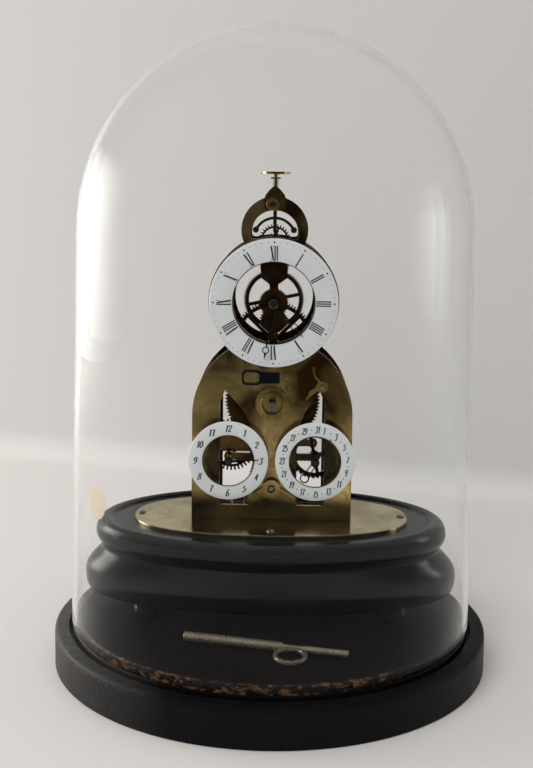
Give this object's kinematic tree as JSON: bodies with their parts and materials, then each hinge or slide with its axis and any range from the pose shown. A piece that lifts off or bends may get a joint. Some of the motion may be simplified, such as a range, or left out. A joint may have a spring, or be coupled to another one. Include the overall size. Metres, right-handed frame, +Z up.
{
  "type": "skeleton clock",
  "caption": "Brass skeleton alarm clock with open train, enamel ring dials and pendulum, on an oval ebonised plinth under a lifting oval glass dome.",
  "frame": {"origin": "centre of the flat underside of the oval base board", "axes": "+X to the right seen from the front, +Y to the back, +Z up"},
  "size_m": [0.294, 0.264, 0.428],
  "materials": {
    "ebonised_wood": "ebonised, polished",
    "pale_brass": "polished, pale",
    "glass": "clear",
    "brass": "aged, satin",
    "enamel": "glossy white enamel",
    "blued_steel": "blued, nearly black",
    "steel": "polished",
    "silk": "thread"
  },
  "bodies": {
    "clock": {"base_board": "ebonised_wood", "raised_floor": "ebonised_wood", "plinth": "ebonised_wood", "base_plate": "pale_brass", "front_plate": "brass", "rear_plate": "brass", "pillar_1": "brass", "pillar_2": "brass", "pillar_3": "brass", "pillar_4": "brass", "front_centre_cock": "brass", "rear_centre_cock": "brass", "front_cock": "brass", "suspension_cock": "brass", "front_bar": "brass", "rear_bar": "brass", "main_dial": "enamel", "alarm_dial": "enamel", "date_dial": "enamel", "silk_loop": "silk", "click_spring": "blued_steel", "alarm_bridge": "brass", "bell": "pale_brass"},
    "dome": {"glass_dome": "glass"},
    "key": {"winding_key": "steel"},
    "winding": {"winding_arbor": "steel", "ratchet_wheel": "brass"},
    "great": {"great_wheel": "brass"},
    "intermediate": {"intermediate_arbor": "steel", "intermediate_wheel": "brass"},
    "minutes": {"centre_arbor": "steel", "centre_wheel": "brass", "cannon_pinion": "steel", "minute_hand": "blued_steel"},
    "minute_work": {"minute_wheel": "brass"},
    "hours": {"hour_wheel": "brass", "hour_hand": "blued_steel"},
    "third": {"third_arbor": "steel", "third_wheel": "brass"},
    "fourth": {"fourth_wheel": "brass"},
    "escape": {"escape_arbor": "steel", "escape_wheel": "brass"},
    "pallets": {"anchor": "blued_steel", "crutch": "steel"},
    "pendulum": {"pendulum_rod": "steel", "pendulum_bob": "brass"},
    "rating": {"rating_disc": "brass"},
    "alarm_setting": {"alarm_hand": "blued_steel", "alarm_hand_arbor": "steel", "alarm_setting_wheel": "brass"},
    "date": {"date_hand": "blued_steel", "date_hand_arbor": "steel", "date_wheel": "brass"},
    "date_work": {"date_lever": "brass"},
    "click": {"click": "brass"},
    "alarm_great": {"alarm_barrel": "brass"},
    "alarm_winding": {"alarm_winding_arbor": "steel"},
    "alarm_second": {"alarm_second_wheel": "brass"},
    "alarm_escape": {"alarm_escape_wheel": "brass"},
    "alarm_hammer": {"hammer": "steel"}
  },
  "joints": [
    {"name": "dome_lift", "type": "slide", "parent": "clock", "child": "dome", "axis": [0, 0, 1], "range_m": [0, 0.33]},
    {"name": "key_lift", "type": "slide", "parent": "clock", "child": "key", "axis": [0, 0, 1], "range_m": [0, 0.06]},
    {"name": "minute_turn", "type": "hinge", "parent": "clock", "child": "minutes", "pos_m": [0, 0.01, 0.24465], "axis": [0, 1, 0], "continuous": true},
    {"name": "hour_turn", "type": "hinge", "parent": "clock", "child": "hours", "pos_m": [0, 0.01, 0.24465], "axis": [0, 1, 0], "continuous": true},
    {"name": "minute_work_turn", "type": "hinge", "parent": "clock", "child": "minute_work", "pos_m": [0, 0.01, 0.2325], "axis": [0, 1, 0], "continuous": true},
    {"name": "intermediate_turn", "type": "hinge", "parent": "clock", "child": "intermediate", "pos_m": [0, 0.01, 0.2124], "axis": [0, 1, 0], "continuous": true},
    {"name": "great_turn", "type": "hinge", "parent": "clock", "child": "great", "pos_m": [0, 0.01, 0.1756], "axis": [0, 1, 0], "continuous": true},
    {"name": "third_turn", "type": "hinge", "parent": "clock", "child": "third", "pos_m": [0, 0.01, 0.267], "axis": [0, 1, 0], "continuous": true},
    {"name": "fourth_turn", "type": "hinge", "parent": "clock", "child": "fourth", "pos_m": [0.00763, 0.01, 0.27547], "axis": [0, 1, 0], "continuous": true},
    {"name": "escape_turn", "type": "hinge", "parent": "clock", "child": "escape", "pos_m": [0, 0.01, 0.2855], "axis": [0, 1, 0], "continuous": true},
    {"name": "winding_turn", "type": "hinge", "parent": "clock", "child": "winding", "pos_m": [0, 0.01, 0.1756], "axis": [0, 1, 0], "continuous": true},
    {"name": "click_swing", "type": "hinge", "parent": "clock", "child": "click", "pos_m": [0.0094, 0.01, 0.1936], "axis": [0, 1, 0], "range_deg": [-12, 0]},
    {"name": "pendulum_swing", "type": "hinge", "parent": "clock", "child": "pendulum", "pos_m": [0, 0.046, 0.31], "axis": [0, 1, 0], "range_deg": [-2.5, 2.5]},
    {"name": "pallet_swing", "type": "hinge", "parent": "clock", "child": "pallets", "pos_m": [0, 0.01, 0.31], "axis": [0, 1, 0], "range_deg": [-2.5, 2.5]},
    {"name": "rating_turn", "type": "hinge", "parent": "clock", "child": "rating", "pos_m": [0, 0.046, 0.3315], "axis": [0, 0, 1], "continuous": true},
    {"name": "alarm_set_turn", "type": "hinge", "parent": "clock", "child": "alarm_setting", "pos_m": [-0.0292, 0.01, 0.1376], "axis": [0, 1, 0], "continuous": true},
    {"name": "date_turn", "type": "hinge", "parent": "clock", "child": "date", "pos_m": [0.0292, 0.01, 0.1376], "axis": [0, 1, 0], "continuous": true},
    {"name": "date_lever_swing", "type": "hinge", "parent": "clock", "child": "date_work", "pos_m": [0.0334, 0.01, 0.1874], "axis": [0, 1, 0], "range_deg": [-4, 4]},
    {"name": "alarm_great_turn", "type": "hinge", "parent": "clock", "child": "alarm_great", "pos_m": [0, 0.01, 0.1172], "axis": [0, 1, 0], "continuous": true},
    {"name": "alarm_winding_turn", "type": "hinge", "parent": "clock", "child": "alarm_winding", "pos_m": [0, 0.01, 0.1172], "axis": [0, 1, 0], "continuous": true},
    {"name": "alarm_second_turn", "type": "hinge", "parent": "clock", "child": "alarm_second", "pos_m": [-0.01044, 0.01, 0.10229], "axis": [0, 1, 0], "continuous": true},
    {"name": "alarm_escape_turn", "type": "hinge", "parent": "clock", "child": "alarm_escape", "pos_m": [-0.01844, 0.01, 0.10229], "axis": [0, 1, 0], "continuous": true},
    {"name": "hammer_swing", "type": "hinge", "parent": "clock", "child": "alarm_hammer", "pos_m": [-0.02784, 0.01, 0.10229], "axis": [0, 1, 0], "range_deg": [-5, 8]}
  ],
  "couplings": [
    {"joint": "hour_turn", "follows": "minute_turn", "ratio": 0.083333},
    {"joint": "minute_work_turn", "follows": "minute_turn", "ratio": -0.33333},
    {"joint": "intermediate_turn", "follows": "minute_turn", "ratio": -0.125},
    {"joint": "great_turn", "follows": "minute_turn", "ratio": 0.017857},
    {"joint": "third_turn", "follows": "minute_turn", "ratio": -10.5},
    {"joint": "fourth_turn", "follows": "minute_turn", "ratio": 68.25},
    {"joint": "escape_turn", "follows": "minute_turn", "ratio": -136.5},
    {"joint": "pallet_swing", "follows": "pendulum_swing", "ratio": 1},
    {"joint": "alarm_second_turn", "follows": "alarm_great_turn", "ratio": -6},
    {"joint": "alarm_escape_turn", "follows": "alarm_great_turn", "ratio": 24}
  ]
}
